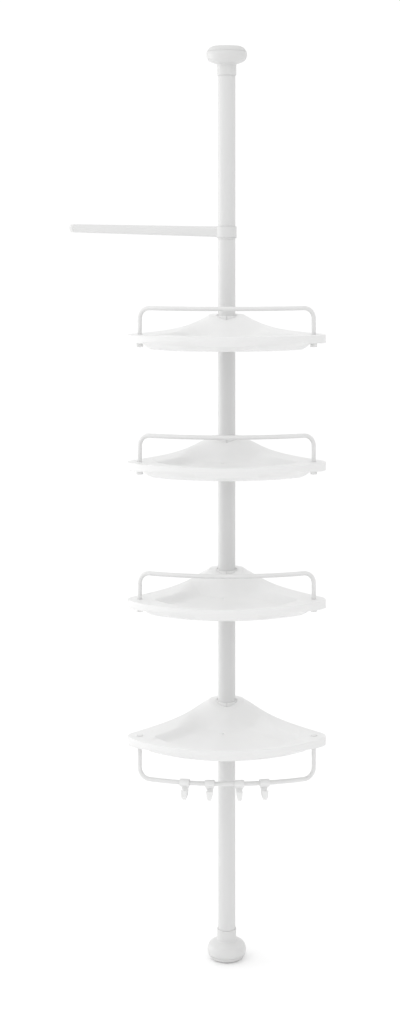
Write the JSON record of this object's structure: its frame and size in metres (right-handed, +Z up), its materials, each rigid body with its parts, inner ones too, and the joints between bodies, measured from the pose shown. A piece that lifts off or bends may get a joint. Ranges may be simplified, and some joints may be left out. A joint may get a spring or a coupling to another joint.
{
  "type": "tension pole shelf unit",
  "caption": "Sprung pole held between floor and ceiling, with corner trays, a wire rail on each tray, hooks on the lowest rail and a turning towel arm.",
  "frame": {"origin": "centre of the floor pad's underside, on the pole's axis", "axes": "+Z up the pole, -Y to the front over the trays, +X to the right seen from the front; the room corner is behind, at +Y"},
  "size_m": [0.3785, 0.3188, 1.32],
  "materials": {
    "pole_white": "white stoved paint, satin gloss",
    "tray_white": "white moulded plastic, fine satin",
    "clamp_white": "off-white moulded plastic, dull",
    "pad_rubber": "pale soft rubber, matt",
    "wire_white": "white dipped coating on steel wire, smooth",
    "plated_steel": "zinc plated"
  },
  "bodies": {
    "pole": {"floor_foot_cup": "tray_white", "floor_foot_pad": "pad_rubber", "lower_tube": "pole_white", "lower_coupler": "plated_steel", "middle_tube": "pole_white", "upper_coupler": "plated_steel", "upper_tube": "pole_white", "spring_seat": "clamp_white", "plunger_guide": "clamp_white", "plunger_spring": "plated_steel"},
    "ceiling_foot": {"ceiling_foot_cup": "tray_white", "ceiling_foot_pad": "pad_rubber", "plunger_rod": "plated_steel", "plunger_follower": "clamp_white"},
    "shelf_1_clamp": {"shelf_1_bush_left": "clamp_white", "shelf_1_bush_right": "clamp_white"},
    "shelf_1": {"shelf_1_tray": "tray_white", "shelf_1_rail": "wire_white", "shelf_1_rail_cap_left": "clamp_white", "shelf_1_rail_cap_right": "clamp_white"},
    "shelf_2_clamp": {"shelf_2_bush_left": "clamp_white", "shelf_2_bush_right": "clamp_white"},
    "shelf_2": {"shelf_2_tray": "tray_white", "shelf_2_rail": "wire_white", "shelf_2_rail_cap_left": "clamp_white", "shelf_2_rail_cap_right": "clamp_white"},
    "shelf_3_clamp": {"shelf_3_bush_left": "clamp_white", "shelf_3_bush_right": "clamp_white"},
    "shelf_3": {"shelf_3_tray": "tray_white", "shelf_3_rail": "wire_white", "shelf_3_rail_cap_left": "clamp_white", "shelf_3_rail_cap_right": "clamp_white"},
    "shelf_4_clamp": {"shelf_4_bush_left": "clamp_white", "shelf_4_bush_right": "clamp_white"},
    "shelf_4": {"shelf_4_tray": "tray_white", "shelf_4_rail": "wire_white", "shelf_4_rail_cap_left": "clamp_white", "shelf_4_rail_cap_right": "clamp_white"},
    "hook_1_body": {"hook_1": "tray_white"},
    "hook_2_body": {"hook_2": "tray_white"},
    "hook_3_body": {"hook_3": "tray_white"},
    "hook_4_body": {"hook_4": "tray_white"},
    "towel_collar": {"towel_arm_liner": "clamp_white"},
    "towel_bar": {"towel_arm": "pole_white", "towel_arm_cap": "clamp_white"}
  },
  "joints": [
    {"name": "ceiling_foot_slide", "type": "slide", "parent": "pole", "child": "ceiling_foot", "axis": [0, 0, 1], "range_m": [-0.02, 0], "stiffness_N_per_m": 3000, "springref_m": 0.002, "deforming": ["plunger_spring"]},
    {"name": "shelf_1_height", "type": "slide", "parent": "pole", "child": "shelf_1_clamp", "axis": [0, 0, 1], "range_m": [-0.05, 0.05]},
    {"name": "shelf_1_swivel", "type": "hinge", "parent": "shelf_1_clamp", "child": "shelf_1", "pos_m": [0, 0, 0.9], "axis": [0, 0, 1], "continuous": true},
    {"name": "shelf_2_height", "type": "slide", "parent": "pole", "child": "shelf_2_clamp", "axis": [0, 0, 1], "range_m": [-0.05, 0.05]},
    {"name": "shelf_2_swivel", "type": "hinge", "parent": "shelf_2_clamp", "child": "shelf_2", "pos_m": [0, 0, 0.723], "axis": [0, 0, 1], "continuous": true},
    {"name": "shelf_3_height", "type": "slide", "parent": "pole", "child": "shelf_3_clamp", "axis": [0, 0, 1], "range_m": [-0.05, 0.05]},
    {"name": "shelf_3_swivel", "type": "hinge", "parent": "shelf_3_clamp", "child": "shelf_3", "pos_m": [0, 0, 0.532], "axis": [0, 0, 1], "continuous": true},
    {"name": "shelf_4_height", "type": "slide", "parent": "pole", "child": "shelf_4_clamp", "axis": [0, 0, 1], "range_m": [-0.2, 0.05]},
    {"name": "shelf_4_swivel", "type": "hinge", "parent": "shelf_4_clamp", "child": "shelf_4", "pos_m": [0, 0, 0.342], "axis": [0, 0, 1], "continuous": true},
    {"name": "hook_1_swing", "type": "hinge", "parent": "shelf_4", "child": "hook_1_body", "pos_m": [-0.0578, -0.12231, 0.2935], "axis": [0.9806, -0.1962, 0], "range_deg": [-80, 80]},
    {"name": "hook_2_swing", "type": "hinge", "parent": "shelf_4", "child": "hook_2_body", "pos_m": [-0.0234, -0.12711, 0.2935], "axis": [0.9968, -0.0794, 0], "range_deg": [-80, 80]},
    {"name": "hook_3_swing", "type": "hinge", "parent": "shelf_4", "child": "hook_3_body", "pos_m": [0.0173, -0.12753, 0.2935], "axis": [0.9983, 0.0587, 0], "range_deg": [-80, 80]},
    {"name": "hook_4_swing", "type": "hinge", "parent": "shelf_4", "child": "hook_4_body", "pos_m": [0.0519, -0.12343, 0.2935], "axis": [0.9844, 0.1762, 0], "range_deg": [-80, 80]},
    {"name": "towel_arm_height", "type": "slide", "parent": "pole", "child": "towel_collar", "axis": [0, 0, 1], "range_m": [-0.03, 0.15]},
    {"name": "towel_arm_swivel", "type": "hinge", "parent": "towel_collar", "child": "towel_bar", "pos_m": [0, 0, 1.051], "axis": [0, 0, 1], "continuous": true}
  ]
}
